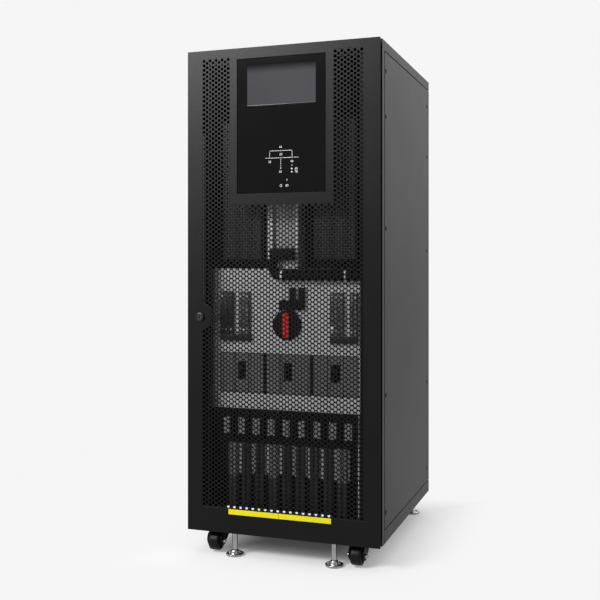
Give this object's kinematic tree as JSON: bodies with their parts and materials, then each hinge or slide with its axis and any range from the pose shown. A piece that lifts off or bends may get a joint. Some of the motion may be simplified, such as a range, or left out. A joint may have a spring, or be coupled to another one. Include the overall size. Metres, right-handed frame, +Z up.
{
  "type": "modular ups cabinet",
  "caption": "Free-standing sheet-steel power cabinet with a perforated front door, a control panel in the door, switchgear and terminals behind it, casters and levelling feet.",
  "frame": {"origin": "on the floor under the middle of the cabinet", "axes": "+Z up, the door faces -Y, +X to the right as seen from the front"},
  "size_m": [0.44, 0.521, 1.112],
  "materials": {
    "powder_coat": "fine texture, satin",
    "frame_paint": "satin",
    "panel_gloss": "gloss",
    "display": "gloss",
    "black_plastic": "matte",
    "grey_plastic": "matte",
    "red_plastic": "satin",
    "white_plastic": "matte",
    "galvanised": "matte zinc",
    "bright_metal": "polished zinc",
    "rubber": "matte"
  },
  "bodies": {
    "cabinet": {"front_frame": "powder_coat", "base_frame": "powder_coat", "corner_posts": "frame_paint", "left_side_panel": "powder_coat", "right_side_panel": "powder_coat", "roof": "powder_coat", "rear_panel": "powder_coat", "bulkhead": "frame_paint", "hinge_leaves": "frame_paint", "switch_panel": "galvanised", "breakers": "grey_plastic", "switch_base": "black_plastic", "switch_interlock": "black_plastic", "surge_units": "black_plastic", "power_modules": "frame_paint", "centre_column": "galvanised", "wiring_loom": "rubber", "cable_ties": "white_plastic", "terminal_block": "black_plastic", "terminal_tabs": "bright_metal", "dark_conductors": "rubber", "light_conductors": "grey_plastic", "backing_plate": "galvanised", "caster_plates": "bright_metal", "levelling_feet": "bright_metal"},
    "door": {"door_skin": "powder_coat", "door_mesh": "powder_coat", "door_stiffener": "frame_paint", "control_panel": "panel_gloss", "display_window": "display", "control_housing": "black_plastic", "door_lock": "bright_metal", "door_knuckles": "frame_paint"},
    "bypass_handle": {"switch_handle": "red_plastic"},
    "toggle_left": {"toggle_left": "black_plastic"},
    "toggle_centre": {"toggle_centre": "black_plastic"},
    "toggle_right": {"toggle_right": "black_plastic"},
    "caster_front_left": {"caster_fork_front_left": "black_plastic"},
    "wheel_front_left": {"caster_wheel_front_left": "rubber"},
    "caster_front_right": {"caster_fork_front_right": "black_plastic"},
    "wheel_front_right": {"caster_wheel_front_right": "rubber"},
    "caster_rear_left": {"caster_fork_rear_left": "black_plastic"},
    "wheel_rear_left": {"caster_wheel_rear_left": "rubber"},
    "caster_rear_right": {"caster_fork_rear_right": "black_plastic"},
    "wheel_rear_right": {"caster_wheel_rear_right": "rubber"}
  },
  "joints": [
    {"name": "door_hinge", "type": "hinge", "parent": "cabinet", "child": "door", "pos_m": [0.2155, -0.25, 0.582], "axis": [0, 0, 1], "range_deg": [0, 115]},
    {"name": "bypass_turn", "type": "hinge", "parent": "cabinet", "child": "bypass_handle", "pos_m": [0, -0.2165, 0.5075], "axis": [0, 1, 0], "range_deg": [0, 90]},
    {"name": "toggle_left_throw", "type": "hinge", "parent": "cabinet", "child": "toggle_left", "pos_m": [-0.109, -0.1989, 0.404], "axis": [1, 0, 0], "range_deg": [0, 40]},
    {"name": "toggle_centre_throw", "type": "hinge", "parent": "cabinet", "child": "toggle_centre", "pos_m": [0, -0.1989, 0.404], "axis": [1, 0, 0], "range_deg": [0, 40]},
    {"name": "toggle_right_throw", "type": "hinge", "parent": "cabinet", "child": "toggle_right", "pos_m": [0.109, -0.1989, 0.404], "axis": [1, 0, 0], "range_deg": [0, 40]},
    {"name": "swivel_front_left", "type": "hinge", "parent": "cabinet", "child": "caster_front_left", "pos_m": [-0.163, -0.1975, 0.047], "axis": [0, 0, 1], "continuous": true},
    {"name": "roll_front_left", "type": "hinge", "parent": "caster_front_left", "child": "wheel_front_left", "pos_m": [-0.163, -0.2245, 0.0255], "axis": [1, 0, 0], "continuous": true},
    {"name": "swivel_front_right", "type": "hinge", "parent": "cabinet", "child": "caster_front_right", "pos_m": [0.163, -0.1975, 0.047], "axis": [0, 0, 1], "continuous": true},
    {"name": "roll_front_right", "type": "hinge", "parent": "caster_front_right", "child": "wheel_front_right", "pos_m": [0.163, -0.2245, 0.0255], "axis": [1, 0, 0], "continuous": true},
    {"name": "swivel_rear_left", "type": "hinge", "parent": "cabinet", "child": "caster_rear_left", "pos_m": [-0.112, 0.1955, 0.047], "axis": [0, 0, 1], "continuous": true},
    {"name": "roll_rear_left", "type": "hinge", "parent": "caster_rear_left", "child": "wheel_rear_left", "pos_m": [-0.112, 0.1685, 0.0255], "axis": [1, 0, 0], "continuous": true},
    {"name": "swivel_rear_right", "type": "hinge", "parent": "cabinet", "child": "caster_rear_right", "pos_m": [0.112, 0.1955, 0.047], "axis": [0, 0, 1], "continuous": true},
    {"name": "roll_rear_right", "type": "hinge", "parent": "caster_rear_right", "child": "wheel_rear_right", "pos_m": [0.112, 0.1685, 0.0255], "axis": [1, 0, 0], "continuous": true}
  ]
}
